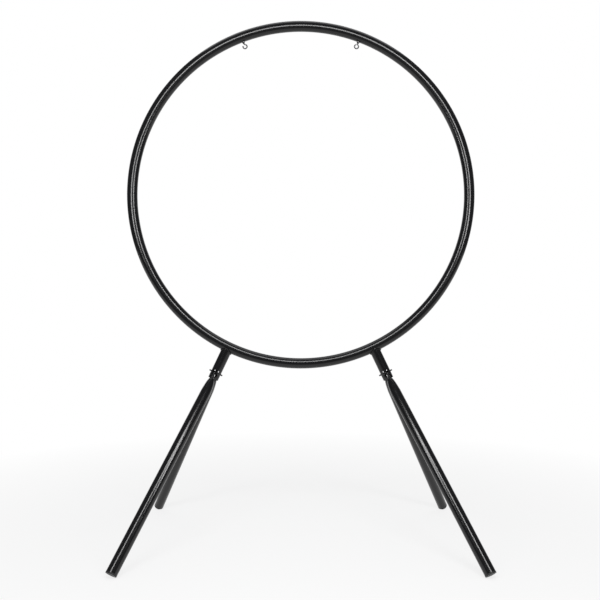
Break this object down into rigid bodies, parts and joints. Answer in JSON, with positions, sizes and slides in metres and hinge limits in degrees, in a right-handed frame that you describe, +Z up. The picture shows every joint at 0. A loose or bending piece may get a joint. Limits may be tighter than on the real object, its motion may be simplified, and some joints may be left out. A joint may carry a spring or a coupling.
{
  "type": "gong stand",
  "caption": "Free-standing round gong stand: a hoop of bent black steel tube with wire hooks at the top, on hinged tube legs that spread to front and rear.",
  "frame": {"origin": "on the floor, midway between the feet, under the middle of the hoop", "axes": "+Z up, +Y from the front to the rear, +X to the right seen from the front; the hoop stands in the XZ plane"},
  "size_m": [1.1248, 0.7298, 1.6747],
  "materials": {
    "frame": "gloss black powder coat",
    "dark_steel": "blackened steel",
    "zinc_steel": "dull zinc plate",
    "plug_plastic": "matte black moulded",
    "washer_plastic": "matte black moulded"
  },
  "bodies": {
    "ring_frame": {"hoop": "frame", "left_stub": "frame", "right_stub": "frame", "left_weld_bead": "frame", "right_weld_bead": "frame", "left_pivot_stud": "dark_steel", "right_pivot_stud": "dark_steel", "left_outer_nut": "zinc_steel", "right_outer_nut": "zinc_steel", "left_inner_nut": "zinc_steel", "right_inner_nut": "zinc_steel", "left_middle_washer": "washer_plastic", "right_middle_washer": "washer_plastic", "left_hook": "dark_steel", "right_hook": "dark_steel", "left_hook_nut": "dark_steel", "right_hook_nut": "dark_steel", "left_hook_insert": "zinc_steel", "right_hook_insert": "zinc_steel"},
    "left_front_leg_body": {"left_front_leg": "frame", "left_front_foot_plug": "plug_plastic"},
    "left_rear_leg_body": {"left_rear_leg": "frame", "left_rear_foot_plug": "plug_plastic"},
    "right_front_leg_body": {"right_front_leg": "frame", "right_front_foot_plug": "plug_plastic"},
    "right_rear_leg_body": {"right_rear_leg": "frame", "right_rear_foot_plug": "plug_plastic"}
  },
  "joints": [
    {"name": "left_front_leg_hinge", "type": "hinge", "parent": "ring_frame", "child": "left_front_leg_body", "pos_m": [-0.27471, 0, 0.53634], "axis": [-0.9026, 0, 0.4305], "range_deg": [-9, 60]},
    {"name": "left_rear_leg_hinge", "type": "hinge", "parent": "ring_frame", "child": "left_rear_leg_body", "pos_m": [-0.27471, 0, 0.53634], "axis": [0.9026, 0, -0.4305], "range_deg": [-9, 60]},
    {"name": "right_front_leg_hinge", "type": "hinge", "parent": "ring_frame", "child": "right_front_leg_body", "pos_m": [0.27471, 0, 0.53634], "axis": [-0.9026, 0, -0.4305], "range_deg": [-9, 60]},
    {"name": "right_rear_leg_hinge", "type": "hinge", "parent": "ring_frame", "child": "right_rear_leg_body", "pos_m": [0.27471, 0, 0.53634], "axis": [0.9026, 0, 0.4305], "range_deg": [-9, 60]}
  ]
}
